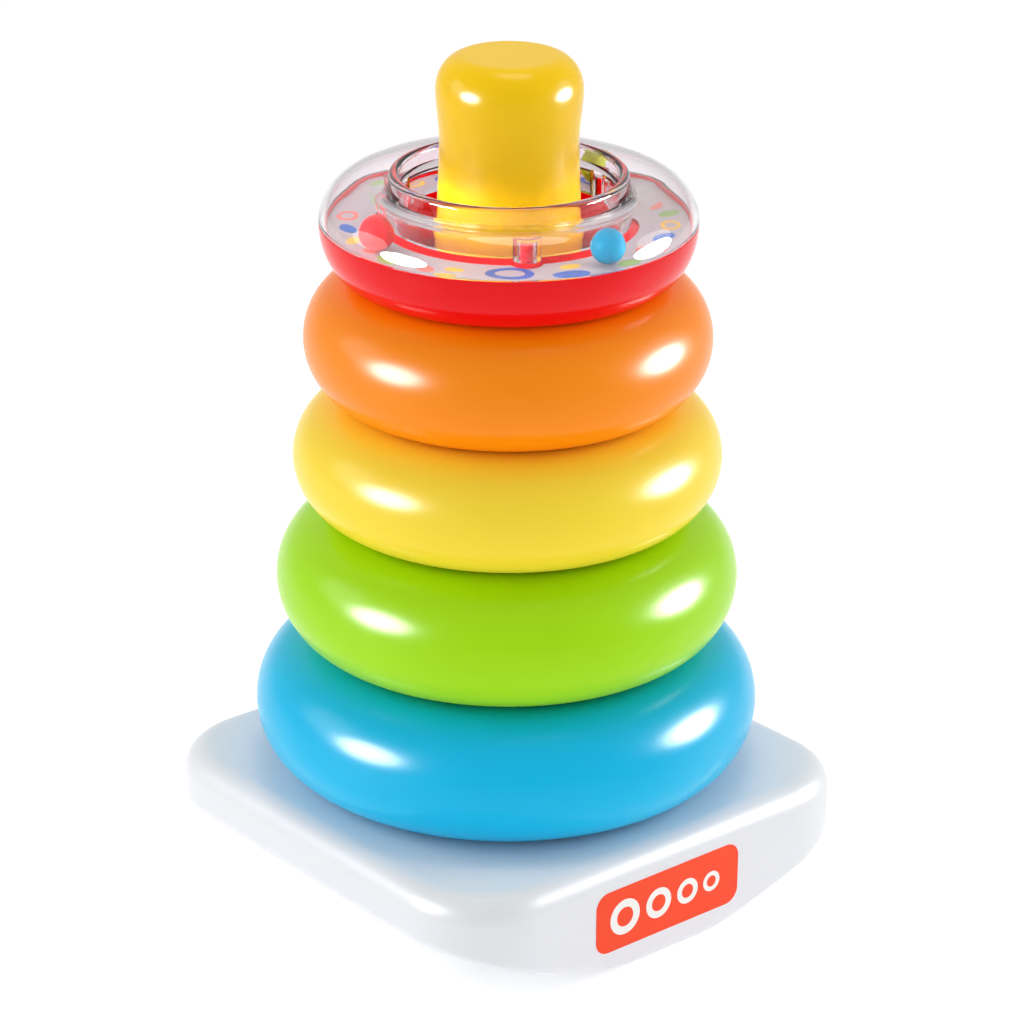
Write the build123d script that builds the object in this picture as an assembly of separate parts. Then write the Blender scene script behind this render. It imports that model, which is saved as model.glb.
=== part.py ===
from build123d import *
import math
import os

# Stacking ring toy: a rocking base with a tapered post, four hollow rings and a rattle ring.
# Millimetres. The origin is on the floor under the post's axis. +Z is up and -Y is the front.

# ---------------------------------------------------------------- driving dimensions
# Base: a rounded square whose underside rocks along X and has a flat land in the middle.
BASE_LENGTH = 134.6
BASE_WIDTH = 132.4
BASE_HEIGHT = 30.8
BASE_CORNER_RADIUS = 23.5
BASE_TOP_ROUND = 6.5
BASE_RIM_ROUND = 2.6
BASE_WALL = 2.4
LAND_HALF_WIDTH = 15.5
ROCKER_END_RISE = 16.5
ROCKER_RADIUS = 300.0
ROCKER_BLEND_RADIUS = 40.0

# Floor plate that closes the base from below, let into the base's rim.
PLATE_INSET = 5.0
PLATE_GAP = 0.2
PLATE_THICKNESS = 2.4
LEDGE_WIDTH = 2.4
LEDGE_THICKNESS = 2.0
PLATE_SCREW_X = 44.0
PLATE_SCREW_Y = 44.0
PLATE_SEAT_Z = 12.0
PLATE_CUP_RADIUS = 6.0
PLATE_BOSS_RADIUS = 4.2

# Screws, all alike.
SCREW_HEAD_RADIUS = 3.0
SCREW_HEAD_HEIGHT = 2.2
SCREW_SHANK_RADIUS = 1.45
SCREW_LENGTH = 12.0
SCREW_PILOT_RADIUS = 1.5
SCREW_CLEARANCE_RADIUS = 1.8
SCREW_HEAD_CLEARANCE_RADIUS = 3.8
SCREW_CROSS_LENGTH = 3.4
SCREW_CROSS_WIDTH = 0.7
SCREW_CROSS_DEPTH = 1.1

# Post: a hollow cone with a rounded head and a flat disc on top.
POST_TOP_Z = 220.3
POST_FOOT_RADIUS = 22.5
POST_CONE_TOP_Z = 180.0
POST_CONE_TOP_RADIUS = 17.95
POST_NECK_Z = 198.5
POST_NECK_RADIUS = 17.35
POST_HEAD_Z = 211.8
POST_HEAD_RADIUS = 18.3
POST_DISC_RADIUS = 11.2
POST_WALL = 2.0
POST_SCREW_CIRCLE = 17.5
POST_SCREW_COUNT = 3
POST_BOSS_RADIUS = 3.6
POST_BOSS_HEIGHT = 13.0

# Rings, lowest first: name, outer radius, width and height of the hollow oval section.
RINGS = (
    ("blue_ring", 65.0, 35.0, 34.8),
    ("green_ring", 59.25, 34.2, 34.6),
    ("yellow_ring", 54.6, 31.6, 30.8),
    ("orange_ring", 51.55, 30.4, 32.0),
)
RING_WALL = 1.8
STACK_GAP = 0.3

# Rattle ring: a red lower shell, a clear cover, a printed insert and loose beads.
RATTLE_RADIUS = 47.35
RATTLE_SEAM_RISE = 14.4
DOME_RADIUS = 10.3
DOME_WALL = 1.6
COLLAR_OUTER_RADIUS = 29.9
COLLAR_INNER_RADIUS = 27.4
COLLAR_RISE = 12.4
SHELL_WALL = 1.8
SHELL_SOLE_OUTER_RADIUS = 38.0
SHELL_SOLE_INNER_RADIUS = 34.0
INSERT_THICKNESS = 0.8
INSERT_DEPTH = 1.0
INSERT_INNER_RADIUS = 32.0
INSERT_NOTCH_RADIUS = 4.0
INSERT_EDGE_GAP = 0.2
SEAT_WIDTH = 2.0
SEAT_THICKNESS = 1.5
SOCKET_CIRCLE = 31.0
SOCKET_ANGLES = (238.0, 358.0, 118.0)
SOCKET_RADIUS = 3.4
SOCKET_DEPTH = 5.0
PEG_RADIUS = 1.6
PEG_GAP = 0.05
PEG_RISE = 4.5

# Beads: name and angle at rest, all on one circle.
BEADS = (("bead_red", 176.0), ("bead_blue", 267.0), ("bead_green", 13.0))
BEAD_RADIUS = 4.3
BEAD_CIRCLE = 39.2
BEAD_GAP = 0.25

# Label on the front face.
LABEL_CENTRE_X = -2.0
LABEL_CENTRE_Z = 15.2
LABEL_LENGTH = 48.0
LABEL_HEIGHT = 17.0
LABEL_CORNER_RADIUS = 4.0
LABEL_THICKNESS = 0.15

# Construction: a length past everything, how far a cut runs past a face, and a test for sameness.
FAR = 200.0
PAST = 1.0
SAME = 0.01
DOWNWARD = -0.5


# ---------------------------------------------------------------- helpers
def polar(radius, degrees):
    """Point on a circle about the post's axis."""
    angle = math.radians(degrees)
    return radius * math.cos(angle), radius * math.sin(angle)


def turned(profile):
    """Solid made by turning a face, drawn as (radius, height), about the post's axis."""
    return revolve(Plane.XZ * profile, axis=Axis.Z)


def extruded_along_y(profile):
    """Solid made by pushing a face, drawn as (x, height), a long way both ways along Y."""
    return extrude(Plane.XZ * profile, amount=FAR, both=True)


def rod(radius, low_z, high_z, x=0.0, y=0.0):
    """Upright cylinder between two heights."""
    cylinder = Cylinder(radius, high_z - low_z, align=(Align.CENTER, Align.CENTER, Align.MIN))
    return Pos(x, y, low_z) * cylinder


def band(inner_radius, outer_radius, low_z, high_z):
    """Flat ring about the post's axis between two heights."""
    return rod(outer_radius, low_z, high_z) - rod(inner_radius, low_z - PAST, high_z + PAST)


def square_plan(inset):
    """Upright block of the base's outline, moved in by the inset."""
    outline = RectangleRounded(
        BASE_LENGTH - 2 * inset,
        BASE_WIDTH - 2 * inset,
        BASE_CORNER_RADIUS - inset,
    )
    return Pos(0, 0, -FAR / 2) * extrude(outline, amount=FAR)


# ---------------------------------------------------------------- base
def rocker_arc(side):
    """Rising arc of the underside on one side (+1 or -1), from the land to the end wall."""
    start_x, start_z = LAND_HALF_WIDTH, 0.0
    end_x, end_z = BASE_LENGTH / 2, ROCKER_END_RISE
    chord = math.hypot(end_x - start_x, end_z - start_z)
    sag = ROCKER_RADIUS - math.sqrt(ROCKER_RADIUS ** 2 - (chord / 2) ** 2)
    middle_x = (start_x + end_x) / 2 + sag * (end_z - start_z) / chord
    middle_z = (start_z + end_z) / 2 - sag * (end_x - start_x) / chord
    return ThreePointArc((side * start_x, start_z), (side * middle_x, middle_z), (side * end_x, end_z))


def rocker_space(rise):
    """Everything above the underside, raised by some height."""
    half = BASE_LENGTH / 2
    outline = [
        rocker_arc(1),
        Line((half, ROCKER_END_RISE), (half, FAR)),
        Line((half, FAR), (-half, FAR)),
        Line((-half, FAR), (-half, ROCKER_END_RISE)),
        rocker_arc(-1),
        Line((-LAND_HALF_WIDTH, 0), (LAND_HALF_WIDTH, 0)),
    ]
    face = make_face(outline)
    on_floor = [v for v in face.vertices() if abs(v.Y) < SAME]
    land_ends = [v for v in on_floor if abs(abs(v.X) - LAND_HALF_WIDTH) < SAME]
    face = fillet(land_ends, radius=ROCKER_BLEND_RADIUS)
    return Pos(0, 0, rise) * extruded_along_y(face)


def everything_below(height):
    """Everything under a level."""
    return Pos(0, 0, height) * Box(2 * FAR, 2 * FAR, FAR, align=(Align.CENTER, Align.CENTER, Align.MAX))


def outer_base_block():
    """Solid outer form of the base, with its rounded rims."""
    block = square_plan(0) & rocker_space(0) & everything_below(BASE_HEIGHT)
    top_rim = block.faces().sort_by(Axis.Z)[-1].edges()
    block = fillet(top_rim, radius=BASE_TOP_ROUND)
    side_faces = [f for f in block.faces() if abs(f.normal_at().Z) < SAME]
    under_faces = [f for f in block.faces() if f.normal_at().Z < DOWNWARD]
    under_edges = ShapeList(e for f in under_faces for e in f.edges())
    side_edges = ShapeList(e for f in side_faces for e in f.edges())
    low_rim = [e for e in under_edges if any(e.is_same(s) for s in side_edges)]
    return fillet(low_rim, radius=BASE_RIM_ROUND)


def plate_screw_places():
    """The four floor-plate screws, one near each corner."""
    return [(sx * PLATE_SCREW_X, sy * PLATE_SCREW_Y) for sx in (-1, 1) for sy in (-1, 1)]


def post_screw_places():
    """The screws that hold the post, on a circle inside its foot."""
    step = 360 / POST_SCREW_COUNT
    return [polar(POST_SCREW_CIRCLE, 90 + i * step) for i in range(POST_SCREW_COUNT)]


def base_shell():
    """White upper shell of the base: top, walls, inner ledge, screw bosses and post screw holes."""
    ceiling_z = BASE_HEIGHT - BASE_WALL
    ledge_low = PLATE_THICKNESS + PLATE_GAP
    ledge_high = ledge_low + LEDGE_THICKNESS
    below_ceiling = everything_below(ceiling_z)
    room = square_plan(BASE_WALL) & rocker_space(ledge_high) & below_ceiling
    way_in = square_plan(PLATE_INSET + LEDGE_WIDTH) & below_ceiling
    plate_pocket = square_plan(PLATE_INSET) - rocker_space(ledge_low)
    shell = outer_base_block() - room - way_in - plate_pocket
    for x, y in plate_screw_places():
        boss = rod(PLATE_BOSS_RADIUS, PLATE_SEAT_Z + LEDGE_THICKNESS, ceiling_z + PAST, x, y)
        shell += boss
        shell -= rod(SCREW_PILOT_RADIUS, 0, PLATE_SEAT_Z + SCREW_LENGTH + PAST, x, y)
    for x, y in post_screw_places():
        shell -= rod(SCREW_CLEARANCE_RADIUS, ceiling_z - PAST, BASE_HEIGHT + PAST, x, y)
    return shell


def base_floor_plate():
    """White plate that closes the base and carries its weight on the land in the middle."""
    plate = square_plan(PLATE_INSET + PLATE_GAP) & (rocker_space(0) - rocker_space(PLATE_THICKNESS))
    cup_top = PLATE_SEAT_Z + LEDGE_THICKNESS
    for x, y in plate_screw_places():
        plate += rod(PLATE_CUP_RADIUS, 0, cup_top, x, y) & rocker_space(0)
        plate -= rod(SCREW_HEAD_CLEARANCE_RADIUS, -PAST, PLATE_SEAT_Z, x, y)
        plate -= rod(SCREW_CLEARANCE_RADIUS, -PAST, cup_top + PAST, x, y)
    return plate


def screw(x, y, seat_z):
    """One cross-head screw that points up, with its head under the seat."""
    head_low = seat_z - SCREW_HEAD_HEIGHT
    body = rod(SCREW_HEAD_RADIUS, head_low, seat_z, x, y)
    body += rod(SCREW_SHANK_RADIUS, seat_z - SCREW_HEAD_HEIGHT / 2, seat_z + SCREW_LENGTH, x, y)
    body = fillet(body.edges().sort_by(Axis.Z)[0], radius=SCREW_HEAD_HEIGHT / 3)
    for turn in (0, 90):
        slot = Box(SCREW_CROSS_LENGTH, SCREW_CROSS_WIDTH, 2 * SCREW_CROSS_DEPTH)
        body -= Pos(x, y, head_low) * Rot(0, 0, turn) * slot
    return body


def base_plate_screws():
    """Four screws that hold the floor plate."""
    return Compound([screw(x, y, PLATE_SEAT_Z).solid() for x, y in plate_screw_places()])


def post_screws():
    """Screws that hold the post from inside the base."""
    seat_z = BASE_HEIGHT - BASE_WALL
    return Compound([screw(x, y, seat_z).solid() for x, y in post_screw_places()])


# ---------------------------------------------------------------- post
def post_form(inset):
    """Solid of the post's outer form, drawn in by a wall thickness."""
    top_z = POST_TOP_Z - inset
    disc = POST_DISC_RADIUS - inset
    head = POST_HEAD_RADIUS - inset
    cone_top = POST_CONE_TOP_RADIUS - inset
    foot = POST_FOOT_RADIUS - inset
    crown = Pos(disc, POST_HEAD_Z) * EllipticalCenterArc((0, 0), head - disc, top_z - POST_HEAD_Z, 0, arc_size=90)
    cone_direction = (cone_top - foot, POST_CONE_TOP_Z - BASE_HEIGHT)
    flank = Spline(
        (cone_top, POST_CONE_TOP_Z),
        (POST_NECK_RADIUS - inset, POST_NECK_Z),
        (head, POST_HEAD_Z),
        tangents=(cone_direction, (0, 1)),
    )
    outline = [
        Line((0, BASE_HEIGHT), (foot, BASE_HEIGHT)),
        Line((foot, BASE_HEIGHT), (cone_top, POST_CONE_TOP_Z)),
        flank,
        crown,
        Line((disc, top_z), (0, top_z)),
        Line((0, top_z), (0, BASE_HEIGHT)),
    ]
    return turned(make_face(outline))


def post_cone():
    """Yellow hollow post, open at its foot, with screw bosses inside."""
    outer = post_form(0)
    post = outer - post_form(POST_WALL)
    for x, y in post_screw_places():
        post += rod(POST_BOSS_RADIUS, BASE_HEIGHT, BASE_HEIGHT + POST_BOSS_HEIGHT, x, y) & outer
        post -= rod(SCREW_PILOT_RADIUS, BASE_HEIGHT - PAST, BASE_HEIGHT + SCREW_LENGTH, x, y)
    return post


# ---------------------------------------------------------------- rings
def ring_heights():
    """Centre height of each ring, resting on the base or on the ring below with a thin gap."""
    heights = []
    for index, (_, outer, width, height) in enumerate(RINGS):
        if index == 0:
            heights.append(BASE_HEIGHT + STACK_GAP + height / 2)
            continue
        _, below_outer, below_width, below_height = RINGS[index - 1]
        offset = (below_outer - below_width / 2) - (outer - width / 2)
        reach = below_height / 2 + height / 2 + STACK_GAP
        heights.append(heights[-1] + math.sqrt(reach ** 2 - offset ** 2))
    return heights


def hollow_ring(outer_radius, width, height, centre_z):
    """Hollow ring with an oval section."""
    middle = Pos(outer_radius - width / 2, centre_z)
    outside = middle * Ellipse(width / 2, height / 2)
    inside = middle * Ellipse(width / 2 - RING_WALL, height / 2 - RING_WALL)
    return turned(outside) - turned(inside)


# ---------------------------------------------------------------- rattle ring
RATTLE_LOW_Z = ring_heights()[-1] + RINGS[-1][3] / 2 + STACK_GAP
SEAM_Z = RATTLE_LOW_Z + RATTLE_SEAM_RISE
DOME_CENTRE_RADIUS = RATTLE_RADIUS - DOME_RADIUS


def lower_shell_form(inset):
    """Half section of the bowl between its outer wall and the hub, below the seam."""
    outer = RATTLE_RADIUS - inset
    hub = COLLAR_INNER_RADIUS + inset
    low = RATTLE_LOW_Z + inset
    sole_out = SHELL_SOLE_OUTER_RADIUS
    sole_in = SHELL_SOLE_INNER_RADIUS
    bend = sole_in - hub
    bowl = Pos(sole_out, SEAM_Z) * EllipticalCenterArc((0, 0), outer - sole_out, SEAM_Z - low, -90, arc_size=90)
    turn_up = Pos(sole_in, low + bend) * EllipticalCenterArc((0, 0), bend, bend, 180, arc_size=90)
    outline = [
        bowl,
        Line((outer, SEAM_Z), (hub, SEAM_Z)),
        Line((hub, SEAM_Z), (hub, low + bend)),
        turn_up,
        Line((sole_in, low), (sole_out, low)),
    ]
    return turned(make_face(outline))


def rattle_lower_shell():
    """Red lower shell with seats for the insert and posts whose pegs fit the cover's sockets."""
    form = lower_shell_form(0)
    shell = form - lower_shell_form(SHELL_WALL)
    seat_high = SEAM_Z - INSERT_DEPTH - INSERT_THICKNESS
    seat_low = seat_high - SEAT_THICKNESS
    outer_wall = RATTLE_RADIUS - SHELL_WALL
    hub_wall = COLLAR_INNER_RADIUS + SHELL_WALL
    shell += band(outer_wall - SEAT_WIDTH, outer_wall + SHELL_WALL / 2, seat_low, seat_high) & form
    shell += band(hub_wall - SHELL_WALL / 2, INSERT_INNER_RADIUS + SEAT_WIDTH, seat_low, seat_high)
    for angle in SOCKET_ANGLES:
        x, y = polar(SOCKET_CIRCLE, angle)
        shell += rod(SOCKET_RADIUS, RATTLE_LOW_Z + SHELL_WALL, SEAM_Z, x, y) & form
        shell += rod(PEG_RADIUS, seat_low, SEAM_Z + PEG_RISE, x, y)
    return shell


def dome_form():
    """Outer form of the clear cover: half a ring section with a collar standing on its hub side."""
    dome = Pos(DOME_CENTRE_RADIUS, SEAM_Z) * Circle(DOME_RADIUS)
    lip = (COLLAR_OUTER_RADIUS - COLLAR_INNER_RADIUS) / 2
    collar_mid = COLLAR_INNER_RADIUS + lip
    collar_high = SEAM_Z + COLLAR_RISE - lip
    collar = Pos(collar_mid, (SEAM_Z + collar_high) / 2) * Rectangle(2 * lip, collar_high - SEAM_Z)
    collar += Pos(collar_mid, collar_high) * Circle(lip)
    above_seam = Pos(0, SEAM_Z) * Rectangle(FAR, FAR, align=(Align.MIN, Align.MIN))
    outside_hub = Pos(COLLAR_INNER_RADIUS, 0) * Rectangle(FAR, 2 * FAR, align=(Align.MIN, Align.CENTER))
    return (dome + collar) & above_seam & outside_hub


def rattle_clear_cover():
    """Clear cover: half-round dome, hub collar with a round lip, and sockets against the collar for the pegs."""
    above_seam = Pos(0, SEAM_Z) * Rectangle(FAR, FAR, align=(Align.MIN, Align.MIN))
    channel = Pos(DOME_CENTRE_RADIUS, SEAM_Z) * Circle(DOME_RADIUS - DOME_WALL)
    beyond_collar = Pos(COLLAR_OUTER_RADIUS, 0) * Rectangle(FAR, 2 * FAR, align=(Align.MIN, Align.CENTER))
    section = dome_form() - (channel & above_seam & beyond_collar)
    cover = turned(section)
    filled = turned(dome_form())
    for angle in SOCKET_ANGLES:
        x, y = polar(SOCKET_CIRCLE, angle)
        cover += rod(SOCKET_RADIUS, SEAM_Z, SEAM_Z + DOME_RADIUS, x, y) & filled
        cover -= rod(PEG_RADIUS + PEG_GAP, SEAM_Z - PAST, SEAM_Z + SOCKET_DEPTH, x, y)
    return cover


def rattle_insert():
    """Printed disc that the beads roll on, notched round the sockets."""
    high = SEAM_Z - INSERT_DEPTH
    outer = RATTLE_RADIUS - SHELL_WALL - INSERT_EDGE_GAP
    disc = band(INSERT_INNER_RADIUS, outer, high - INSERT_THICKNESS, high)
    for angle in SOCKET_ANGLES:
        x, y = polar(SOCKET_CIRCLE, angle)
        disc -= rod(INSERT_NOTCH_RADIUS, high - 2 * INSERT_THICKNESS, high + PAST, x, y)
    return disc


def bead(angle):
    """One loose bead just above the insert."""
    x, y = polar(BEAD_CIRCLE, angle)
    return Pos(x, y, SEAM_Z - INSERT_DEPTH + BEAD_GAP + BEAD_RADIUS) * Sphere(BEAD_RADIUS)


# ---------------------------------------------------------------- label
def front_label():
    """Thin plain label on the front face."""
    outline = RectangleRounded(LABEL_LENGTH, LABEL_HEIGHT, LABEL_CORNER_RADIUS)
    front = Plane(origin=(LABEL_CENTRE_X, -BASE_WIDTH / 2, LABEL_CENTRE_Z), x_dir=(1, 0, 0), z_dir=(0, -1, 0))
    return extrude(front * outline, amount=LABEL_THICKNESS)


# ---------------------------------------------------------------- all parts
def all_parts():
    """Every node's name and shape."""
    parts = {
        "base_shell": base_shell(),
        "base_floor_plate": base_floor_plate(),
        "base_plate_screws": base_plate_screws(),
        "post_cone": post_cone(),
        "post_screws": post_screws(),
        "front_label": front_label(),
        "rattle_lower_shell": rattle_lower_shell(),
        "rattle_clear_cover": rattle_clear_cover(),
        "rattle_insert": rattle_insert(),
    }
    for (name, outer_radius, width, height), centre_z in zip(RINGS, ring_heights()):
        parts[name] = hollow_ring(outer_radius, width, height, centre_z)
    for name, angle in BEADS:
        parts[name] = bead(angle)
    return parts


os.makedirs("parts", exist_ok=True)
for node, shape in all_parts().items():
    export_step(shape, "parts/" + node + ".step")
    box = shape.bounding_box()
    print(node, "z", round(box.min.Z, 2), "to", round(box.max.Z, 2))
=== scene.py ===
"""Stacking ring toy on a plain pale floor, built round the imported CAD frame.

Lengths are in millimetres in the named values and turned into metres by MM where a mesh is made.
The frame's origin is on the floor under the post's axis, +Z is up and -Y is the label's side.
"""
import math
import random

import bmesh
import bpy
from mathutils import Matrix, Vector


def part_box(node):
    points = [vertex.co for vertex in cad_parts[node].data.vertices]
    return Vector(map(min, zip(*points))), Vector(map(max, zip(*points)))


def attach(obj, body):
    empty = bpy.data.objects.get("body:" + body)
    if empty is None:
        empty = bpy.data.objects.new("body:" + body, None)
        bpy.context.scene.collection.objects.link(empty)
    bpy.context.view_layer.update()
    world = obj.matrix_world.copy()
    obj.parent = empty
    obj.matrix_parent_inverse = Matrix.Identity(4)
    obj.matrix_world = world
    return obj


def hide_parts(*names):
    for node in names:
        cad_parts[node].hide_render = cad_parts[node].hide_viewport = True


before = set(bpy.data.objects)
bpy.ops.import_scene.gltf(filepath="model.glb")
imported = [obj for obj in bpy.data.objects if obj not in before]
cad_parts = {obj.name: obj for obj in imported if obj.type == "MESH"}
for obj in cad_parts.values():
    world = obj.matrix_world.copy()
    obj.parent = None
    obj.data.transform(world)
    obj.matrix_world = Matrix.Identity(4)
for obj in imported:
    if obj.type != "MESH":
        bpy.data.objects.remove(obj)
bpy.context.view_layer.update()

MM = 0.001


def node_box(node):
    """A CAD node's lowest and highest corners in millimetres."""
    low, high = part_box(node)
    return [v / MM for v in low], [v / MM for v in high]


# ---------------------------------------------------------------- sizes read from the frame
BASE_LOW, BASE_HIGH = node_box("base_shell")
BASE_HALF_X = (BASE_HIGH[0] - BASE_LOW[0]) / 2
BASE_HALF_Y = (BASE_HIGH[1] - BASE_LOW[1]) / 2
BASE_TOP = BASE_HIGH[2]
POST_FOOT_RADIUS, _, POST_TOP = node_box("post_cone")[1]
SHELL_LOW = node_box("rattle_lower_shell")[0]
COVER_HIGH = node_box("rattle_clear_cover")[1]
INSERT_LOW, INSERT_HIGH = node_box("rattle_insert")
LABEL_LOW, LABEL_HIGH = node_box("front_label")

# ---------------------------------------------------------------- sizes repeated from the CAD model
BASE_CORNER_RADIUS = 23.5
BASE_TOP_ROUND = 6.5
BASE_RIM_ROUND = 2.6
BASE_WALL = 2.4
TOP_FIELD_INSET = BASE_TOP_ROUND + 8.0
TOP_EDGE_INSET = BASE_TOP_ROUND + 0.6
LAND_HALF_WIDTH = 15.5
ROCKER_END_RISE = 16.5
ROCKER_RADIUS = 300.0
ROCKER_BLEND_RADIUS = 40.0
PLATE_INSET = 5.0
PLATE_POCKET = 2.6
LEDGE_WIDTH = 2.4
LEDGE_THICKNESS = 2.0

POST_CONE_TOP_Z = 180.0
POST_CONE_TOP_RADIUS = 17.95
POST_NECK_Z = 198.5
POST_NECK_RADIUS = 17.35
POST_HEAD_Z = 211.8
POST_HEAD_RADIUS = 18.3
POST_DISC_RADIUS = 11.2
POST_WALL = 2.0

RING_SECTION_WIDTH = {"blue_ring": 35.0, "green_ring": 34.2, "yellow_ring": 31.6, "orange_ring": 30.4}

RATTLE_RADIUS = 47.35
SEAM_RISE = 14.4
SEAM_Z = SHELL_LOW[2] + SEAM_RISE
DOME_RADIUS = 10.3
DOME_WALL = 1.6
COLLAR_OUTER = 29.9
COLLAR_INNER = 27.4
SHELL_WALL = 1.8
SOLE_OUTER = 38.0
SOLE_INNER = 34.0
INSERT_INNER = 32.0
INSERT_NOTCH = 4.0
SEAT_WIDTH = 2.0
SEAT_THICKNESS = 1.5
SOCKET_CIRCLE = 31.0
SOCKET_ANGLES = (238.0, 358.0, 118.0)
SOCKET_RADIUS = 3.4
SOCKET_DEPTH = 5.0
PEG_RADIUS = 1.6
PEG_GAP = 0.05
PEG_RISE = 4.5
LABEL_CORNER_RADIUS = 4.0

# ---------------------------------------------------------------- sizes of the visual model alone
LATHE_STEPS = 192
RING_STEPS = 256
COVER_STEPS = 224
PAST = 1.0
TOUCH = 1e-6
SEAM_GAP = 0.06
PEG_TIP_ROUND = 0.4
SHELL_LIP_TAPER = 0.08
COVER_EDGE_ROUND = 0.3
COVER_SOCKET_ROOF = 1.0
VALLEY_WIDTH = 0.5
VALLEY_RISE = 0.25
ROOF_CORNER_WIDTH = 0.6
ROOF_CORNER_ROUND = 0.15
ROOF_CORNER_DROP = 0.2
COLLAR_CHAMFER = 0.4
SOCKET_SKIN = 0.5
SOCKET_LIFT = 0.02
INSERT_EDGE = 0.15
INK_LOW, INK_HIGH = -0.02, 0.03
LABEL_BACK, LABEL_FACE = -0.02, 0.12
MOTIF_BACK, MOTIF_FACE = 0.1, 0.145
# Label's plain rings: place along the label and outer radius.
LABEL_RINGS = ((-14.5, 4.9), (-3.2, 4.2), (6.6, 3.5), (14.8, 2.8))
LABEL_RING_BORE = 0.55
FLOOR_HALF = 6000.0
FLOOR_DROP = 0.05

# ---------------------------------------------------------------- camera and lights
# Places are given to the right of the camera's line, away from the camera, and up.
VIEW_TURN = math.radians(40.17)
CAMERA_PLACE = (1.24, -935.0, 497.7)
CAMERA_PITCH = math.radians(23.1)
CAMERA_ROLL = math.radians(0.356)
CAMERA_LENS = 139.5
LIGHT_AIM = (0, 0, 110)
SKY_STRENGTH = 0.66
# Name, place, width, height, power in watts, and whether it lights surfaces or is only mirrored in them.
LIGHTS = (
    ("left_box", (-524, -271, 246), 330, 240, 14.0, False),
    ("right_box", (460, 10, 205), 260, 190, 8.5, False),
    ("left_fill", (-760, 40, 420), 400, 400, 1.3, True),
    ("right_fill", (760, 120, 420), 400, 400, 1.1, True),
    ("top_box", (60, 60, 1000), 500, 400, 1.8, True),
)


# ---------------------------------------------------------------- mesh helpers
def new_object(name, mesh, material, smooth_angle=32.0):
    """Object from a mesh, smooth except across edges sharper than the angle."""
    obj = bpy.data.objects.new(name, mesh)
    bpy.context.scene.collection.objects.link(obj)
    obj.data.materials.append(material)
    mesh.polygons.foreach_set("use_smooth", [True] * len(mesh.polygons))
    mesh.set_sharp_from_angle(angle=math.radians(smooth_angle))
    return obj


def mesh_from(name, points, faces):
    """Mesh in metres from points in millimetres, with outward faces."""
    bm = bmesh.new()
    verts = [bm.verts.new([c * MM for c in p]) for p in points]
    for face in faces:
        bm.faces.new([verts[i] for i in face])
    bmesh.ops.recalc_face_normals(bm, faces=bm.faces)
    mesh = bpy.data.meshes.new(name)
    bm.to_mesh(mesh)
    bm.free()
    return mesh


def arc(centre_r, centre_z, radius_r, radius_z, start, end, steps):
    """Points (r, z) along an elliptical arc, in degrees, both ends included."""
    points = []
    for i in range(steps + 1):
        angle = math.radians(start + (end - start) * i / steps)
        points.append((centre_r + radius_r * math.cos(angle), centre_z + radius_z * math.sin(angle)))
    return points


def line(start, end, steps):
    """Points (r, z) along a straight run, without its end."""
    return [
        (start[0] + (end[0] - start[0]) * i / steps, start[1] + (end[1] - start[1]) * i / steps)
        for i in range(steps)
    ]


def column(radius, low, high):
    """Profile of a plain round column."""
    return [(0.0, low), (radius, low), (radius, high), (0.0, high)]


def lathe(name, profile, steps=LATHE_STEPS, closed=True):
    """Mesh made by turning a profile of (r, z) about Z; a profile on the axis is capped by triangles."""
    points, faces = [], []
    rows = []
    for r, z in profile:
        if r < TOUCH:
            rows.append([len(points)])
            points.append((0.0, 0.0, z))
            continue
        row = []
        for i in range(steps):
            angle = 2 * math.pi * i / steps
            row.append(len(points))
            points.append((r * math.cos(angle), r * math.sin(angle), z))
        rows.append(row)
    pairs = list(zip(rows, rows[1:]))
    if closed:
        pairs.append((rows[-1], rows[0]))
    for low, high in pairs:
        if len(low) == 1 and len(high) == 1:
            continue
        for i in range(steps):
            j = (i + 1) % steps
            if len(low) == 1:
                faces.append((low[0], high[i], high[j]))
            elif len(high) == 1:
                faces.append((low[i], low[j], high[0]))
            else:
                faces.append((low[i], low[j], high[j], high[i]))
    return mesh_from(name, points, faces)


def polar(radius, degrees):
    """Point on a circle about the post's axis."""
    angle = math.radians(degrees)
    return radius * math.cos(angle), radius * math.sin(angle)


def moved(mesh, x, y, z=0.0):
    """The same mesh shifted by millimetres."""
    mesh.transform(Matrix.Translation((x * MM, y * MM, z * MM)))
    return mesh


def cut_or_join(target, tool_mesh, operation):
    """Adds a closed mesh to an object, or takes it away, and keeps the result."""
    tool = bpy.data.objects.new("tool", tool_mesh)
    bpy.context.scene.collection.objects.link(tool)
    modifier = target.modifiers.new("solid", "BOOLEAN")
    modifier.operation = operation
    modifier.solver = "EXACT"
    modifier.object = tool
    bpy.context.view_layer.update()
    graph = bpy.context.evaluated_depsgraph_get()
    result = bpy.data.meshes.new_from_object(target.evaluated_get(graph))
    target.modifiers.clear()
    target.data = result
    bpy.data.objects.remove(tool)


def finish_shading(obj, smooth_angle):
    """Smooth shading with sharp edges marked again after a boolean."""
    mesh = obj.data
    mesh.polygons.foreach_set("use_smooth", [True] * len(mesh.polygons))
    mesh.set_sharp_from_angle(angle=math.radians(smooth_angle))


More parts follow.
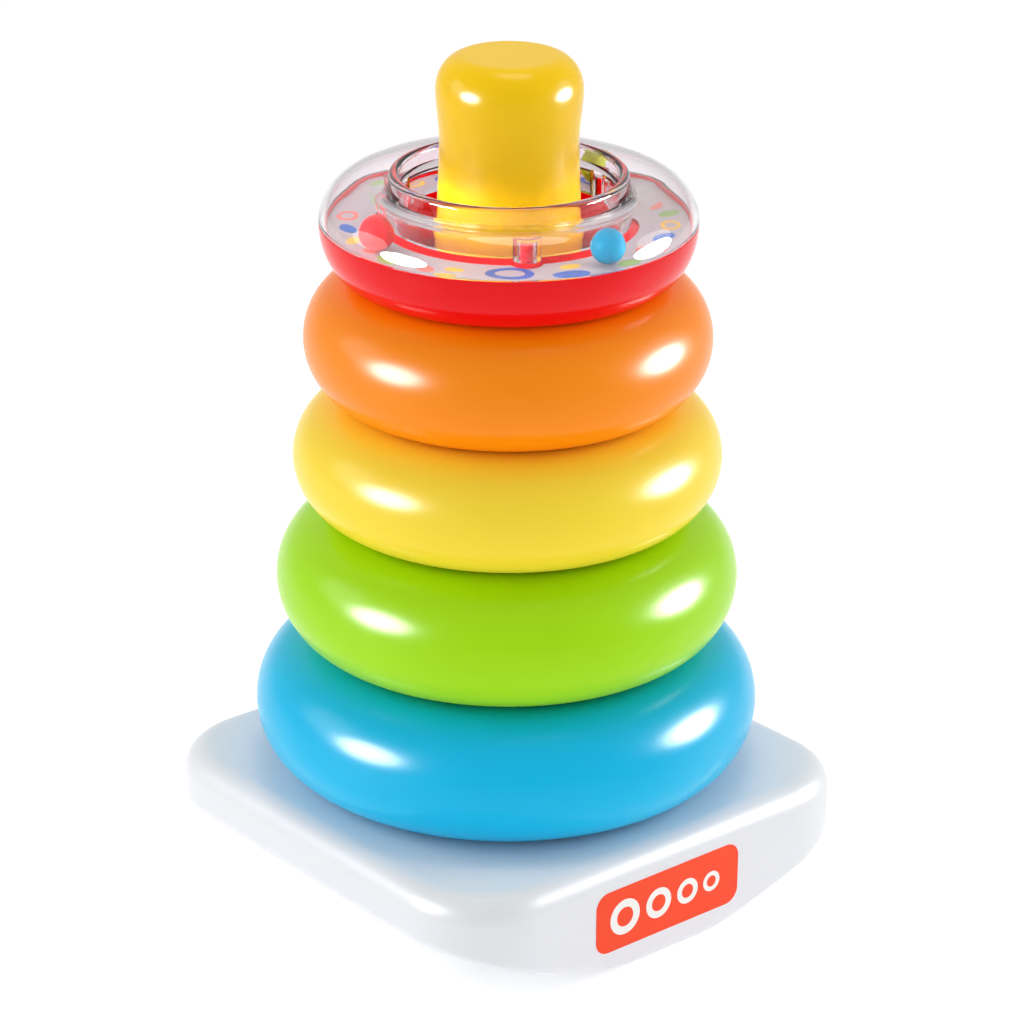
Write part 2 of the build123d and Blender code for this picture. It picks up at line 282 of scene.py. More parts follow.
# ---------------------------------------------------------------- materials
def plastic(name, colour, roughness, speckle=0.03, grain=0.02, grain_scale=900.0, wear=0.04, **settings):
    """Moulded plastic: faint flow marks in the colour, fine grain, and a rougher bloom in patches."""
    material = bpy.data.materials.new(name)
    material.use_nodes = True
    nodes, links = material.node_tree.nodes, material.node_tree.links
    shader = nodes["Principled BSDF"]
    for socket, value in settings.items():
        shader.inputs[socket.replace("_", " ")].default_value = value
    place = nodes.new("ShaderNodeTexCoord")
    flow = nodes.new("ShaderNodeTexNoise")
    flow.inputs["Scale"].default_value = 38.0
    flow.inputs["Detail"].default_value = 3.0
    flow.inputs["Distortion"].default_value = 0.6
    links.new(place.outputs["Object"], flow.inputs["Vector"])
    tint = nodes.new("ShaderNodeValToRGB")
    tint.color_ramp.elements[0].position = 0.3
    tint.color_ramp.elements[1].position = 0.7
    tint.color_ramp.elements[0].color = [c * (1 - speckle) for c in colour] + [1]
    tint.color_ramp.elements[1].color = [min(c * (1 + speckle), 1) for c in colour] + [1]
    links.new(flow.outputs["Fac"], tint.inputs["Fac"])
    links.new(tint.outputs["Color"], shader.inputs["Base Color"])
    bloom = nodes.new("ShaderNodeTexNoise")
    bloom.inputs["Scale"].default_value = 90.0
    bloom.inputs["Detail"].default_value = 4.0
    links.new(place.outputs["Object"], bloom.inputs["Vector"])
    rough = nodes.new("ShaderNodeMapRange")
    rough.inputs["To Min"].default_value = max(roughness - wear, 0.02)
    rough.inputs["To Max"].default_value = roughness + wear
    links.new(bloom.outputs["Fac"], rough.inputs["Value"])
    links.new(rough.outputs["Result"], shader.inputs["Roughness"])
    pores = nodes.new("ShaderNodeTexNoise")
    pores.inputs["Scale"].default_value = grain_scale
    pores.inputs["Detail"].default_value = 2.0
    links.new(place.outputs["Object"], pores.inputs["Vector"])
    bump = nodes.new("ShaderNodeBump")
    bump.inputs["Strength"].default_value = grain
    bump.inputs["Distance"].default_value = 0.0002
    links.new(pores.outputs["Fac"], bump.inputs["Height"])
    links.new(bump.outputs["Normal"], shader.inputs["Normal"])
    return material


def clear_plastic(name, colour, roughness, shade=0.5):
    """Clear moulded plastic with faint ripples; light that casts shadows passes it, dimmed by the shade."""
    material = bpy.data.materials.new(name)
    material.use_nodes = True
    nodes, links = material.node_tree.nodes, material.node_tree.links
    shader = nodes["Principled BSDF"]
    shader.inputs["Base Color"].default_value = (*colour, 1)
    shader.inputs["IOR"].default_value = 1.5
    shader.inputs["Transmission Weight"].default_value = 1.0
    place = nodes.new("ShaderNodeTexCoord")
    ripple = nodes.new("ShaderNodeTexNoise")
    ripple.inputs["Scale"].default_value = 70.0
    ripple.inputs["Detail"].default_value = 1.5
    links.new(place.outputs["Object"], ripple.inputs["Vector"])
    bump = nodes.new("ShaderNodeBump")
    bump.inputs["Strength"].default_value = 0.12
    bump.inputs["Distance"].default_value = 0.0006
    links.new(ripple.outputs["Fac"], bump.inputs["Height"])
    links.new(bump.outputs["Normal"], shader.inputs["Normal"])
    scuff = nodes.new("ShaderNodeTexNoise")
    scuff.inputs["Scale"].default_value = 260.0
    links.new(place.outputs["Object"], scuff.inputs["Vector"])
    rough = nodes.new("ShaderNodeMapRange")
    rough.inputs["To Min"].default_value = 0.0
    rough.inputs["To Max"].default_value = roughness * 2
    links.new(scuff.outputs["Fac"], rough.inputs["Value"])
    links.new(rough.outputs["Result"], shader.inputs["Roughness"])
    path = nodes.new("ShaderNodeLightPath")
    passing = nodes.new("ShaderNodeBsdfTransparent")
    passing.inputs["Color"].default_value = [c * shade for c in colour] + [1]
    mix = nodes.new("ShaderNodeMixShader")
    links.new(path.outputs["Is Shadow Ray"], mix.inputs["Fac"])
    links.new(shader.outputs["BSDF"], mix.inputs[1])
    links.new(passing.outputs["BSDF"], mix.inputs[2])
    links.new(mix.outputs["Shader"], nodes["Material Output"].inputs["Surface"])
    return material


def steel(name):
    """Zinc-plated steel with fine turning marks."""
    return plastic(name, (0.62, 0.62, 0.64), 0.3, speckle=0.1, grain=0.15, Metallic=1.0)


RING_FINISH = dict(speckle=0.012, grain=0.015, wear=0.03, Specular_IOR_Level=0.2)
WHITE_BASE = plastic(
    "base_white", (0.78, 0.79, 0.83), 0.38, speckle=0.006, grain=0.05, wear=0.05, Specular_IOR_Level=0.3
)
POST_YELLOW = plastic("post_yellow", (0.93, 0.58, 0.0), 0.2, **RING_FINISH)
RING_MATERIALS = {
    "blue_ring": plastic("ring_blue", (0.0, 0.5, 0.84), 0.24, **RING_FINISH),
    "green_ring": plastic("ring_green", (0.38, 0.76, 0.0), 0.24, **RING_FINISH),
    "yellow_ring": plastic("ring_yellow", (0.98, 0.73, 0.04), 0.26, **RING_FINISH),
    "orange_ring": plastic("ring_orange", (1.0, 0.27, 0.0), 0.26, **RING_FINISH),
}
SHELL_RED = plastic("shell_red", (0.86, 0.0, 0.004), 0.14, **RING_FINISH)
# The clear plastic's faint pink tint is a painted reflection of the insert seen in the dome.
COVER_CLEAR = clear_plastic("cover_clear", (0.99, 0.95, 0.975), 0.022)
# The white insert is coloured grey-mauve: painted shade and a painted pink cast from lying under the clear
# cover.
INSERT_WHITE_PAINTED_SHADE = plastic("insert_white", (0.5, 0.46, 0.48), 0.35, speckle=0.02)
BEAD_MATERIALS = {
    "bead_red": plastic("bead_red", (0.78, 0.01, 0.015), 0.1, **RING_FINISH),
    "bead_blue": plastic("bead_blue", (0.0, 0.3, 0.5), 0.1, **RING_FINISH),
    "bead_green": plastic("bead_green", (0.3, 0.42, 0.0), 0.1, **RING_FINISH),
}
LABEL_ORANGE = plastic("label_orange", (0.95, 0.06, 0.01), 0.4, speckle=0.02, Specular_IOR_Level=0.2)
LABEL_WHITE = plastic("label_white", (0.9, 0.88, 0.85), 0.3, speckle=0.02)
PRINT_INKS = {
    "blue": plastic("ink_blue", (0.01, 0.12, 0.5), 0.35, speckle=0.1),
    "coral": plastic("ink_coral", (0.85, 0.2, 0.15), 0.35, speckle=0.1),
    "green": plastic("ink_green", (0.3, 0.5, 0.12), 0.35, speckle=0.1),
    "yellow": plastic("ink_yellow", (0.85, 0.52, 0.05), 0.35, speckle=0.1),
}
SCREW_STEEL = steel("screw_steel")


# ---------------------------------------------------------------- base
def rocker_height(x):
    """Height of the base's underside at a place along X."""
    start, end = LAND_HALF_WIDTH, BASE_HALF_X
    chord = math.hypot(end - start, ROCKER_END_RISE)
    sag_centre = math.sqrt(ROCKER_RADIUS ** 2 - (chord / 2) ** 2)
    middle_x, middle_z = (start + end) / 2, ROCKER_END_RISE / 2
    centre_x = middle_x - sag_centre * ROCKER_END_RISE / chord
    centre_z = middle_z + sag_centre * (end - start) / chord
    reach = ROCKER_RADIUS - ROCKER_BLEND_RADIUS
    blend_x = centre_x + math.sqrt(reach ** 2 - (centre_z - ROCKER_BLEND_RADIUS) ** 2)
    scale = ROCKER_RADIUS / reach
    leave_x = centre_x + (blend_x - centre_x) * scale
    x = abs(x)
    if x <= blend_x:
        return 0.0
    if x <= leave_x:
        return ROCKER_BLEND_RADIUS - math.sqrt(ROCKER_BLEND_RADIUS ** 2 - (x - blend_x) ** 2)
    return centre_z - math.sqrt(ROCKER_RADIUS ** 2 - (x - centre_x) ** 2)


def plan_points(inset, corner_steps=20, long_steps=56, short_steps=16):
    """Points round the base's outline, moved in by the inset."""
    half_x, half_y = BASE_HALF_X - inset, BASE_HALF_Y - inset
    smallest_radius = 2.0
    radius = max(BASE_CORNER_RADIUS - inset, smallest_radius)
    corners = (
        (half_x - radius, half_y - radius, 0),
        (-half_x + radius, half_y - radius, 90),
        (-half_x + radius, -half_y + radius, 180),
        (half_x - radius, -half_y + radius, 270),
    )
    points = []
    for index, (cx, cy, start) in enumerate(corners):
        points += [
            (cx + radius * math.cos(math.radians(start + 90 * i / corner_steps)),
             cy + radius * math.sin(math.radians(start + 90 * i / corner_steps)))
            for i in range(corner_steps + 1)
        ]
        next_x, next_y, next_start = corners[(index + 1) % 4]
        steps = long_steps if index % 2 == 0 else short_steps
        end_x = next_x + radius * math.cos(math.radians(next_start))
        end_y = next_y + radius * math.sin(math.radians(next_start))
        last_x, last_y = points[-1]
        points += [
            (last_x + (end_x - last_x) * i / steps, last_y + (end_y - last_y) * i / steps)
            for i in range(1, steps)
        ]
    return points


def base_loops():
    """Loops of the base shell from the middle of its top, round its outside and up its inside."""
    loops = []

    def level(inset, height):
        """A flat loop."""
        loops.append([(x, y, height) for x, y in plan_points(inset)])

    def follow(inset, rise):
        """A loop that keeps one distance above the curved underside."""
        loops.append([(x, y, rocker_height(x) + rise) for x, y in plan_points(inset)])

    level(TOP_FIELD_INSET, BASE_TOP)
    level(TOP_EDGE_INSET, BASE_TOP)
    top_steps = 14
    for i in range(top_steps + 1):
        angle = math.pi / 2 * i / top_steps
        level(
            BASE_TOP_ROUND * (1 - math.sin(angle)),
            BASE_TOP - BASE_TOP_ROUND * (1 - math.cos(angle)),
        )
    wall_top = BASE_TOP - BASE_TOP_ROUND
    for part in (0.04, 0.35, 0.7, 0.96):
        loops.append([
            (x, y, wall_top + (rocker_height(x) + BASE_RIM_ROUND - wall_top) * part)
            for x, y in plan_points(0)
        ])
    rim_steps = 8
    for i in range(rim_steps + 1):
        angle = math.pi / 2 * i / rim_steps
        follow(BASE_RIM_ROUND * (1 - math.cos(angle)), BASE_RIM_ROUND * (1 - math.sin(angle)))
    follow(PLATE_INSET, 0)
    follow(PLATE_INSET, PLATE_POCKET)
    follow(PLATE_INSET + LEDGE_WIDTH, PLATE_POCKET)
    follow(PLATE_INSET + LEDGE_WIDTH, PLATE_POCKET + LEDGE_THICKNESS)
    follow(BASE_WALL, PLATE_POCKET + LEDGE_THICKNESS)
    level(BASE_WALL, BASE_TOP - BASE_WALL)
    level(TOP_FIELD_INSET, BASE_TOP - BASE_WALL)
    return loops


def build_base_shell():
    """White base shell with its rounded rims and the pocket for the floor plate."""
    loops = base_loops()
    count = len(loops[0])
    points = [p for loop in loops for p in loop]
    faces = [tuple(range(count))]
    for row in range(len(loops) - 1):
        for i in range(count):
            j = (i + 1) % count
            faces.append((row * count + i, row * count + j, (row + 1) * count + j, (row + 1) * count + i))
    last = (len(loops) - 1) * count
    faces.append(tuple(range(last, last + count)))
    return new_object("base_shell_body", mesh_from("base_shell_body", points, faces), WHITE_BASE)


# ---------------------------------------------------------------- post
def flank_radius(height):
    """Radius between the cone and the head: a smooth pull-in at the neck."""
    cone_slope = (POST_CONE_TOP_RADIUS - POST_FOOT_RADIUS) / (POST_CONE_TOP_Z - BASE_TOP)
    knots = (
        (POST_CONE_TOP_Z, POST_CONE_TOP_RADIUS, cone_slope),
        (POST_NECK_Z, POST_NECK_RADIUS, 0.0),
        (POST_HEAD_Z, POST_HEAD_RADIUS, 0.0),
    )
    low, high = (knots[0], knots[1]) if height <= POST_NECK_Z else (knots[1], knots[2])
    span = high[0] - low[0]
    t = (height - low[0]) / span
    return (
        (2 * t ** 3 - 3 * t ** 2 + 1) * low[1]
        + (t ** 3 - 2 * t ** 2 + t) * span * low[2]
        + (3 * t ** 2 - 2 * t ** 3) * high[1]
        + (t ** 3 - t ** 2) * span * high[2]
    )


def build_post():
    """Yellow post: cone, neck, rounded head and flat disc, hollow and open at its foot."""
    crown_radius = POST_HEAD_RADIUS - POST_DISC_RADIUS
    crown_height = POST_TOP - POST_HEAD_Z
    outside = line((POST_FOOT_RADIUS, BASE_TOP), (POST_CONE_TOP_RADIUS, POST_CONE_TOP_Z), 12)
    flank_steps = 40
    for i in range(flank_steps):
        height = POST_CONE_TOP_Z + (POST_HEAD_Z - POST_CONE_TOP_Z) * i / flank_steps
        outside.append((flank_radius(height), height))
    outside += arc(POST_DISC_RADIUS, POST_HEAD_Z, crown_radius, crown_height, 0, 90, 24)
    disc_edge = 0.3
    outside += [(POST_DISC_RADIUS - disc_edge, POST_TOP), (POST_DISC_RADIUS / 2, POST_TOP), (0.0, POST_TOP)]
    ceiling = POST_TOP - POST_WALL
    inside = [(0.0, ceiling), (POST_DISC_RADIUS - POST_WALL, ceiling)]
    inside += [(POST_HEAD_RADIUS - POST_WALL, POST_HEAD_Z), (POST_NECK_RADIUS - POST_WALL, POST_NECK_Z)]
    inside += [(POST_FOOT_RADIUS - POST_WALL, BASE_TOP)]
    return new_object("post_cone_body", lathe("post_cone_body", outside + inside), POST_YELLOW)


# ---------------------------------------------------------------- rings
def build_ring(node):
    """Glossy hollow ring with an oval section."""
    low, high = node_box(node)
    outer = (high[0] - low[0]) / 2
    half_width = RING_SECTION_WIDTH[node] / 2
    half_height = (high[2] - low[2]) / 2
    middle = (low[2] + high[2]) / 2
    section = arc(outer - half_width, middle, half_width, half_height, -180, 180, 96)[:-1]
    name = node + "_body"
    return new_object(name, lathe(name, section, steps=RING_STEPS), RING_MATERIALS[node])


# ---------------------------------------------------------------- rattle ring
def build_lower_shell():
    """Red lower shell with its seats, posts and pegs."""
    low = SHELL_LOW[2]
    seat_high = INSERT_LOW[2]
    seat_low = seat_high - SEAT_THICKNESS
    wall = SHELL_WALL
    bend = SOLE_INNER - COLLAR_INNER
    outside = arc(SOLE_OUTER, SEAM_Z, RATTLE_RADIUS - SOLE_OUTER, SEAM_Z - low, 0, -90, 40)
    outside += arc(SOLE_INNER, low + bend, bend, bend, 270, 180, 20)
    inner_depth = SEAM_Z - low - wall
    inner_reach = RATTLE_RADIUS - SOLE_OUTER - wall
    seat_angle = -math.degrees(math.asin((SEAM_Z - seat_low) / inner_depth))
    hub = COLLAR_INNER + wall
    inner_seat = INSERT_INNER + SEAT_WIDTH
    outer_wall = RATTLE_RADIUS - wall
    inside = [(COLLAR_INNER, SEAM_Z), (hub, SEAM_Z), (hub, seat_high), (inner_seat, seat_high)]
    inside += [(inner_seat, seat_low), (hub, seat_low)]
    inside += arc(SOLE_INNER, low + bend, bend - wall, bend - wall, 180, 270, 8)
    inside += arc(SOLE_OUTER, SEAM_Z, inner_reach, inner_depth, -90, seat_angle, 16)
    inside += [(outer_wall - SEAT_WIDTH, seat_low), (outer_wall - SEAT_WIDTH, seat_high)]
    inside += [(outer_wall - SHELL_LIP_TAPER, seat_high), (outer_wall, SEAM_Z)]
    name = "rattle_lower_shell_body"
    shell = new_object(name, lathe(name, outside + inside), SHELL_RED)
    post_low = low + bend
    peg_high = SEAM_Z + PEG_RISE
    tip = PEG_TIP_ROUND
    for angle in SOCKET_ANGLES:
        peg = [(0.0, post_low), (SOCKET_RADIUS, post_low), (SOCKET_RADIUS, SEAM_Z), (PEG_RADIUS, SEAM_Z)]
        peg += [(PEG_RADIUS, peg_high - tip)] + arc(PEG_RADIUS - tip, peg_high - tip, tip, tip, 0, 90, 4)
        peg += [(0.0, peg_high)]
        tool = moved(lathe("peg", peg, steps=40, closed=False), *polar(SOCKET_CIRCLE, angle))
        cut_or_join(shell, tool, "UNION")
    finish_shading(shell, 32.0)
    return shell


def build_clear_cover():
    """Clear cover: half-round dome, valley, collar with a round lip, and three sockets."""
    centre = RATTLE_RADIUS - DOME_RADIUS
    foot = SEAM_Z + SEAM_GAP
    lip = (COLLAR_OUTER - COLLAR_INNER) / 2
    lip_centre = COVER_HIGH[2] - lip
    valley_angle = 180 - math.degrees(math.acos((centre - COLLAR_OUTER - VALLEY_WIDTH) / DOME_RADIUS))
    profile = [(RATTLE_RADIUS - COVER_EDGE_ROUND, foot)]
    profile += arc(centre, SEAM_Z, DOME_RADIUS, DOME_RADIUS, 2, valley_angle, 56)
    profile += [(COLLAR_OUTER, profile[-1][1] + VALLEY_RISE)]
    profile += arc(COLLAR_INNER + lip, lip_centre, lip, lip, 0, 180, 18)
    profile += line((COLLAR_INNER, lip_centre - COLLAR_CHAMFER), (COLLAR_INNER, foot), 6)
    profile += [(COLLAR_INNER, foot), (COLLAR_OUTER, foot)]
    roof = DOME_RADIUS - DOME_WALL
    roof_angle = 180 - math.degrees(math.acos((centre - COLLAR_OUTER - ROOF_CORNER_WIDTH) / roof))
    roof_points = arc(centre, SEAM_Z, roof, roof, roof_angle, 0.5, 48)
    corner_z = roof_points[0][1]
    profile += line((COLLAR_OUTER, foot + COLLAR_CHAMFER), (COLLAR_OUTER, corner_z - ROOF_CORNER_WIDTH), 5)
    profile += [(COLLAR_OUTER + ROOF_CORNER_ROUND, corner_z - ROOF_CORNER_DROP)] + roof_points
    profile += [(centre + roof, foot)]
    name = "rattle_clear_cover_body"
    cover = new_object(name, lathe(name, profile, steps=COVER_STEPS), COVER_CLEAR)
    reach = DOME_RADIUS - SOCKET_SKIN
    inside_dome = arc(centre, SEAM_Z, reach, reach, 180, 0, 60)
    limit_low = SEAM_Z - 3 * PAST
    limit = [(inside_dome[0][0], limit_low)] + inside_dome + [(inside_dome[-1][0], limit_low)]
    tube = column(SOCKET_RADIUS, foot + SOCKET_LIFT, foot + SOCKET_DEPTH + COVER_SOCKET_ROOF)
    hole = column(PEG_RADIUS + PEG_GAP, SEAM_Z - PAST, SEAM_Z + SOCKET_DEPTH)
    for angle in SOCKET_ANGLES:
        x, y = polar(SOCKET_CIRCLE, angle)
        body = bpy.data.objects.new("tube", moved(lathe("tube", tube, steps=48, closed=False), x, y))
        bpy.context.scene.collection.objects.link(body)
        cut_or_join(body, lathe("limit", limit, steps=COVER_STEPS), "INTERSECT")
        mesh = body.data
        bpy.data.objects.remove(body)
        cut_or_join(cover, mesh, "UNION")
        cut_or_join(cover, moved(lathe("hole", hole, steps=40, closed=False), x, y), "DIFFERENCE")
    finish_shading(cover, 28.0)
    return cover


def build_insert():
    """White disc that the beads roll on, notched round the sockets; its grey-mauve colour is painted shade
    and a painted pink cast from under the clear cover.
    """
    low, high = INSERT_LOW[2], INSERT_HIGH[2]
    outer = INSERT_HIGH[0]
    edge = INSERT_EDGE
    section = [(INSERT_INNER, low + edge), (INSERT_INNER, high - edge), (INSERT_INNER + edge, high)]
    section += [(outer - edge, high), (outer, high - edge), (outer, low + edge), (outer - edge, low)]
    section += [(INSERT_INNER + edge, low)]
    insert = new_object("rattle_insert_body", lathe("rattle_insert_body", section), INSERT_WHITE_PAINTED_SHADE)
    notch = column(INSERT_NOTCH, low - PAST, high + PAST)
    for angle in SOCKET_ANGLES:
        tool = moved(lathe("notch", notch, steps=64, closed=False), *polar(SOCKET_CIRCLE, angle))
        cut_or_join(insert, tool, "DIFFERENCE")
    finish_shading(insert, 30.0)
    return insert


def patch(points, low, high):
    """Closed thin patch from an outline of (x, y), as points and faces."""
    count = len(points)
    both = [(x, y, low) for x, y in points] + [(x, y, high) for x, y in points]
    faces = [tuple(range(count))[::-1], tuple(range(count, 2 * count))]
    faces += [(i, (i + 1) % count, count + (i + 1) % count, count + i) for i in range(count)]
    return both, faces


def hoop(outer, inner, low, high):
    """Closed thin band between two outlines with the same number of points."""
    count = len(outer)
    points = [(x, y, z) for z in (low, high) for ring in (outer, inner) for x, y in ring]
    faces = []
    for i in range(count):
        j = (i + 1) % count
        a, b, c, d = i, count + i, 2 * count + i, 3 * count + i
        e, f, g, h = j, count + j, 2 * count + j, 3 * count + j
        faces += [(a, e, f, b), (c, d, h, g), (a, c, g, e), (b, f, h, d)]
    return points, faces


def oval(radius, angle, long_half, short_half, spin, phase, wobble=0.05, count=48):
    """Slightly uneven oval on the insert, placed by radius and angle about the post's axis."""
    cx, cy = polar(radius, angle)
    turn = math.radians(angle + spin)
    cos_turn, sin_turn = math.cos(turn), math.sin(turn)
    points = []
    for i in range(count):
        t = 2 * math.pi * i / count
        grow = 1 + wobble * math.sin(2 * t + phase) + wobble * 0.6 * math.sin(3 * t - phase)
        u, v = long_half * grow * math.cos(t), short_half * grow * math.sin(t)
        points.append((cx + u * cos_turn - v * sin_turn, cy + u * sin_turn + v * cos_turn))
    return points


# Printed shapes: ink, kind, radius, angle, half length, half width, spin from the radius in degrees.
PRINTS = (
    ("blue", "ring", 38.0, 230.5, 5.6, 4.2, 90.0),
    ("blue", "dot", 41.0, 251.5, 4.4, 2.4, 82.0),
    ("yellow", "dot", 36.0, 254.0, 2.8, 1.4, 90.0),
    ("green", "dot", 40.0, 186.0, 4.2, 3.0, 95.0),
    ("coral", "dot", 40.0, 200.0, 2.7, 1.9, 60.0),
    ("yellow", "dot", 37.8, 210.0, 2.5, 1.2, 95.0),
    ("yellow", "dot", 42.2, 209.0, 2.7, 1.3, 95.0),
    ("green", "dot", 41.5, 274.0, 3.2, 1.8, 85.0),
    ("coral", "ring", 40.0, 289.0, 3.8, 3.0, 60.0),
    ("blue", "dot", 39.5, 303.0, 3.8, 2.2, 75.0),
    ("yellow", "ring", 40.0, 317.0, 3.6, 2.8, 85.0),
    ("green", "dot", 40.5, 331.0, 3.0, 2.4, 20.0),
    ("coral", "dot", 39.5, 343.0, 2.4, 1.8, 60.0),
    ("blue", "ring", 40.5, 16.0, 4.0, 3.0, 70.0),
    ("yellow", "dot", 40.0, 32.0, 2.8, 1.8, 95.0),
    ("green", "ring", 39.8, 47.0, 3.8, 3.0, 80.0),
    ("coral", "dot", 41.0, 62.0, 3.0, 1.8, 70.0),
    ("blue", "dot", 39.5, 76.0, 3.4, 2.2, 100.0),
    ("yellow", "ring", 40.4, 91.0, 3.8, 2.8, 75.0),
    ("green", "dot", 40.5, 104.0, 2.4, 1.8, 60.0),
    ("coral", "ring", 40.2, 134.0, 4.0, 3.0, 80.0),
    ("blue", "dot", 40.0, 149.0, 3.4, 2.0, 100.0),
    ("yellow", "dot", 40.8, 162.0, 2.6, 1.6, 60.0),
    ("coral", "dot", 40.2, 174.0, 2.2, 1.6, 90.0),
)


def build_prints():
    """The insert's printed rings and dots, one thin object for each ink."""
    rng = random.Random(7)
    low, high = INSERT_HIGH[2] + INK_LOW, INSERT_HIGH[2] + INK_HIGH
    bore_long, bore_short = 0.62, 0.58
    made = []
    for ink, material in PRINT_INKS.items():
        points, faces = [], []
        for name, kind, radius, angle, long_half, short_half, spin in PRINTS:
            phase = rng.uniform(0, 2 * math.pi)
            if name != ink:
                continue
            outline = oval(radius, angle, long_half, short_half, spin, phase)
            if kind == "dot":
                new_points, new_faces = patch(outline, low, high)
            else:
                bore = oval(radius, angle, long_half * bore_long, short_half * bore_short, spin, phase)
                new_points, new_faces = hoop(outline, bore, low, high)
            faces += [tuple(len(points) + i for i in face) for face in new_faces]
            points += new_points
        print_name = "insert_print_" + ink
        made.append(new_object(print_name, mesh_from(print_name, points, faces), material))
    return made


def build_bead(node):
    """Glossy bead with a fine parting line and a gate mark."""
    low, high = node_box(node)
    radius = (high[2] - low[2]) / 2
    steps = 96
    parting_height, parting_spread = 0.05, 1.2
    gate_depth, gate_spread = 0.25, 7
    profile = []
    for i in range(steps + 1):
        angle = -90 + 180 * i / steps
        turn = math.radians(angle)
        ridge = parting_height * math.exp(-((angle / parting_spread) ** 2))
        dimple = gate_depth * math.exp(-(((90 - abs(angle)) / gate_spread) ** 2))
        reach = radius - parting_height + ridge - dimple
        profile.append((max(reach * math.cos(turn), 0.0), reach * math.sin(turn)))
    profile[0] = (0.0, profile[0][1])
    profile[-1] = (0.0, profile[-1][1])
    mesh = lathe(node + "_body", profile, steps=steps, closed=False)
    tilt_x, tilt_y = math.radians(24), math.radians(-18)
    mesh.transform(Matrix.Rotation(tilt_x, 4, "X") @ Matrix.Rotation(tilt_y, 4, "Y"))
    moved(mesh, *[(a + b) / 2 for a, b in zip(low, high)])
    return new_object(node + "_body", mesh, BEAD_MATERIALS[node])


# ---------------------------------------------------------------- label
def rounded_outline(centre_x, centre_z, half_x, half_z, radius, steps=12):
    """Points (x, z) round a rounded rectangle."""
    points = []
    for cx, cz, start in ((1, 1, 0), (-1, 1, 90), (-1, -1, 180), (1, -1, 270)):
        for i in range(steps + 1):
            angle = math.radians(start + 90 * i / steps)
            points.append((
                centre_x + cx * (half_x - radius) + radius * math.cos(angle),
                centre_z + cz * (half_z - radius) + radius * math.sin(angle),
            ))
    return points


def circle(centre_x, centre_z, radius, steps=64):
    """Points (x, z) round a circle."""
    turns = [2 * math.pi * i / steps for i in range(steps)]
    return [(centre_x + radius * math.cos(t), centre_z + radius * math.sin(t)) for t in turns]


def on_front(flat, front_y):
    """Turns a patch drawn in (x, z) with depth as height into one on the front face."""
    points, faces = flat
    return [(x, front_y - depth, z) for x, z, depth in points], faces


def build_label():
    """Plain orange label with a pictogram of plain rings, standing for the printed one."""
    centre_x = (LABEL_LOW[0] + LABEL_HIGH[0]) / 2
    centre_z = (LABEL_LOW[2] + LABEL_HIGH[2]) / 2
    half_x = (LABEL_HIGH[0] - LABEL_LOW[0]) / 2
    half_z = (LABEL_HIGH[2] - LABEL_LOW[2]) / 2
    front = LABEL_HIGH[1]
    outline = rounded_outline(centre_x, centre_z, half_x, half_z, LABEL_CORNER_RADIUS)
    body = on_front(patch(outline, LABEL_BACK, LABEL_FACE), front)
    label = new_object("front_label_body", mesh_from("front_label_body", *body), LABEL_ORANGE)
    points, faces = [], []
    for x, radius in LABEL_RINGS:
        outer = circle(centre_x + x, centre_z, radius)
        bore = circle(centre_x + x, centre_z, radius * LABEL_RING_BORE)
        new_points, new_faces = on_front(hoop(outer, bore, MOTIF_BACK, MOTIF_FACE), front)
        faces += [tuple(len(points) + i for i in face) for face in new_faces]
        points += new_points
    motif = new_object("front_label_motif", mesh_from("front_label_motif", points, faces), LABEL_WHITE)
    return label, motif


# ---------------------------------------------------------------- put the pieces on the frame
def place(obj, body, slot, *nodes):
    """Rides a piece on a body and hides the CAD nodes it stands for."""
    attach(obj, body)
    if nodes:
        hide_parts(*nodes)


place(build_base_shell(), "base", "base_white", "base_shell")
place(build_post(), "base", "post_yellow", "post_cone")
label, motif = build_label()
place(label, "base", "label_orange", "front_label")
place(motif, "base", "label_orange")
for colour in ("blue", "green", "yellow", "orange"):
    place(build_ring(colour + "_ring"), colour, "ring_" + colour, colour + "_ring")
place(build_lower_shell(), "rattle", "shell_red", "rattle_lower_shell")
place(build_clear_cover(), "rattle", "cover_clear", "rattle_clear_cover")
place(build_insert(), "rattle", "insert_white", "rattle_insert")
for piece in build_prints():
    place(piece, "rattle", "insert_white")
for colour in ("red", "blue", "green"):
    place(build_bead("bead_" + colour), colour + "_bead", "bead_" + colour, "bead_" + colour)
for node, material in (
    ("base_floor_plate", WHITE_BASE),
    ("base_plate_screws", SCREW_STEEL),
    ("post_screws", SCREW_STEEL),
):
    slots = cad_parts[node].data.materials
    slots.clear()
    slots.append(material)


# ---------------------------------------------------------------- floor, light and camera
def stage_material(name, colour):
    """Plain matt sweep with a very faint tooth."""
    material = plastic(name, colour, 0.6, speckle=0.002, grain=0.01, grain_scale=60.0)
    shader = material.node_tree.nodes["Principled BSDF"]
    shader.inputs["Specular IOR Level"].default_value = 0.1
    shader.inputs["Emission Color"].default_value = (1, 1, 1, 1)
    shader.inputs["Emission Strength"].default_value = 0.3
    return material


def build_floor():
    """Large pale floor under the toy."""
    corners = ((-1, -1), (1, -1), (1, 1), (-1, 1))
    points = [(x * FLOOR_HALF, y * FLOOR_HALF, -FLOOR_DROP) for x, y in corners]
    sweep = stage_material("floor_pale", (0.93, 0.93, 0.93))
    floor = new_object("floor", mesh_from("floor", points, [(0, 1, 2, 3)]), sweep)


def from_view(right, away, up):
    """Turns a place given to the right, away from the camera and up into the frame's axes, in metres."""
    return Vector((
        (right * math.cos(VIEW_TURN) + away * math.sin(VIEW_TURN)) * MM,
        (-right * math.sin(VIEW_TURN) + away * math.cos(VIEW_TURN)) * MM,
        up * MM,
    ))


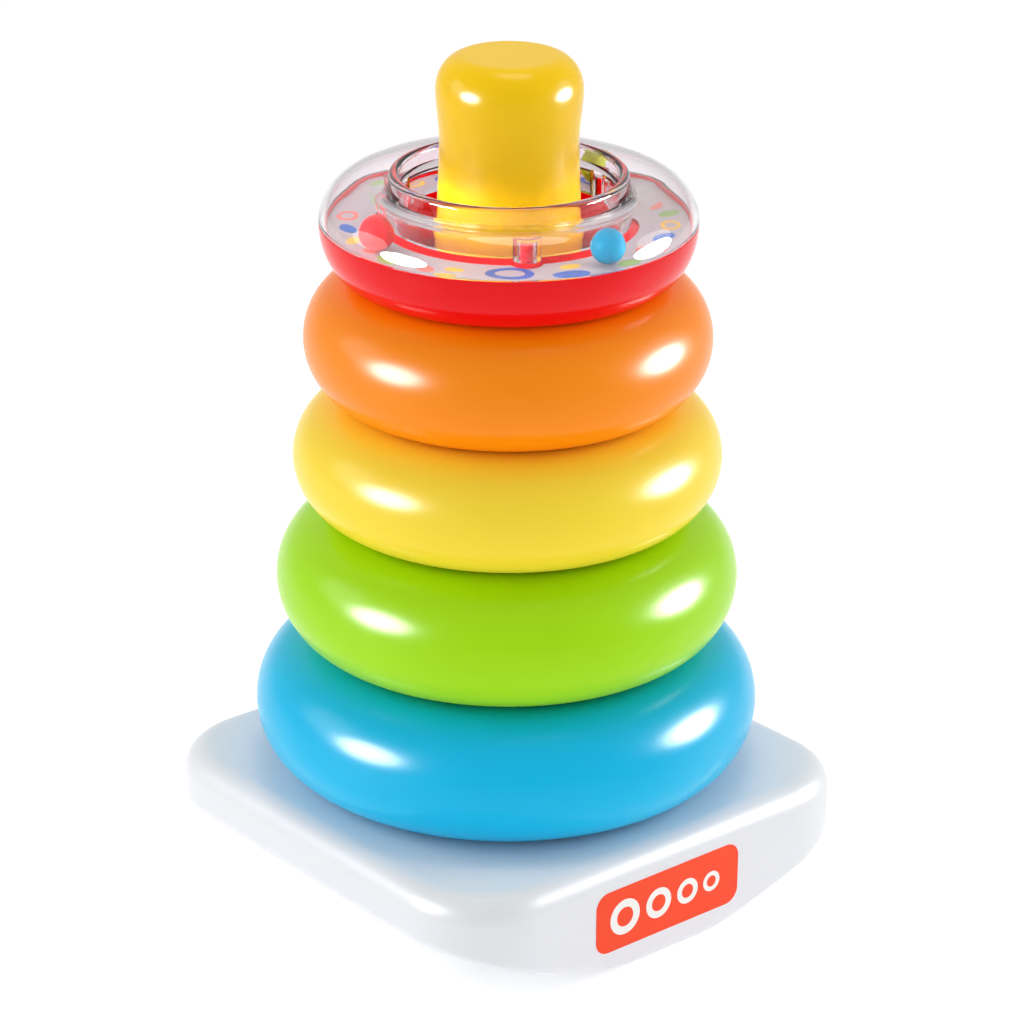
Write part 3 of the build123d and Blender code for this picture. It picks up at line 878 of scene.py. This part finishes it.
def softbox(name, place_at, aim_at, width, height, power, lights_surfaces):
    """Oval area light; one that does not light surfaces is only seen mirrored in them."""
    data = bpy.data.lights.new(name, "AREA")
    data.shape = "ELLIPSE"
    data.size = width * MM
    data.size_y = height * MM
    data.energy = power
    light = bpy.data.objects.new(name, data)
    bpy.context.scene.collection.objects.link(light)
    light.visible_diffuse = lights_surfaces
    light.visible_transmission = False
    light.location = place_at
    light.rotation_euler = (aim_at - place_at).to_track_quat("-Z", "Y").to_euler()


def build_lights():
    """White surroundings, two mirrored softboxes, and soft fills from both sides and overhead."""
    world = bpy.data.worlds.new("studio")
    bpy.context.scene.world = world
    world.use_nodes = True
    background = world.node_tree.nodes["Background"]
    background.inputs["Color"].default_value = (1, 1, 1, 1)
    background.inputs["Strength"].default_value = SKY_STRENGTH
    aim = from_view(*LIGHT_AIM)
    for name, place_at, width, height, power, lights_surfaces in LIGHTS:
        softbox(name, from_view(*place_at), aim, width, height, power, lights_surfaces)


def build_camera():
    """Camera that looks down at the corner between the toy's front and left sides."""
    data = bpy.data.cameras.new("camera")
    data.sensor_width = 36.0
    data.lens = CAMERA_LENS
    data.clip_start = 0.05
    data.clip_end = 60.0
    camera = bpy.data.objects.new("camera", data)
    bpy.context.scene.collection.objects.link(camera)
    pitch, roll = CAMERA_PITCH, CAMERA_ROLL
    away = from_view(0, 1, 0).normalized()
    right = from_view(1, 0, 0).normalized()
    up = Vector((0, 0, 1))
    forward = away * math.cos(pitch) - up * math.sin(pitch)
    lift = away * math.sin(pitch) + up * math.cos(pitch)
    side = right * math.cos(roll) + lift * math.sin(roll)
    lift = lift * math.cos(roll) - right * math.sin(roll)
    matrix = Matrix((side, lift, -forward)).transposed().to_4x4()
    matrix.translation = from_view(*CAMERA_PLACE)
    camera.matrix_world = matrix
    bpy.context.scene.camera = camera


build_floor()
build_lights()
build_camera()
scene = bpy.context.scene
scene.view_settings.view_transform = "Standard"
scene.cycles.max_bounces = 16
scene.cycles.transmission_bounces = 14
scene.cycles.transparent_max_bounces = 12
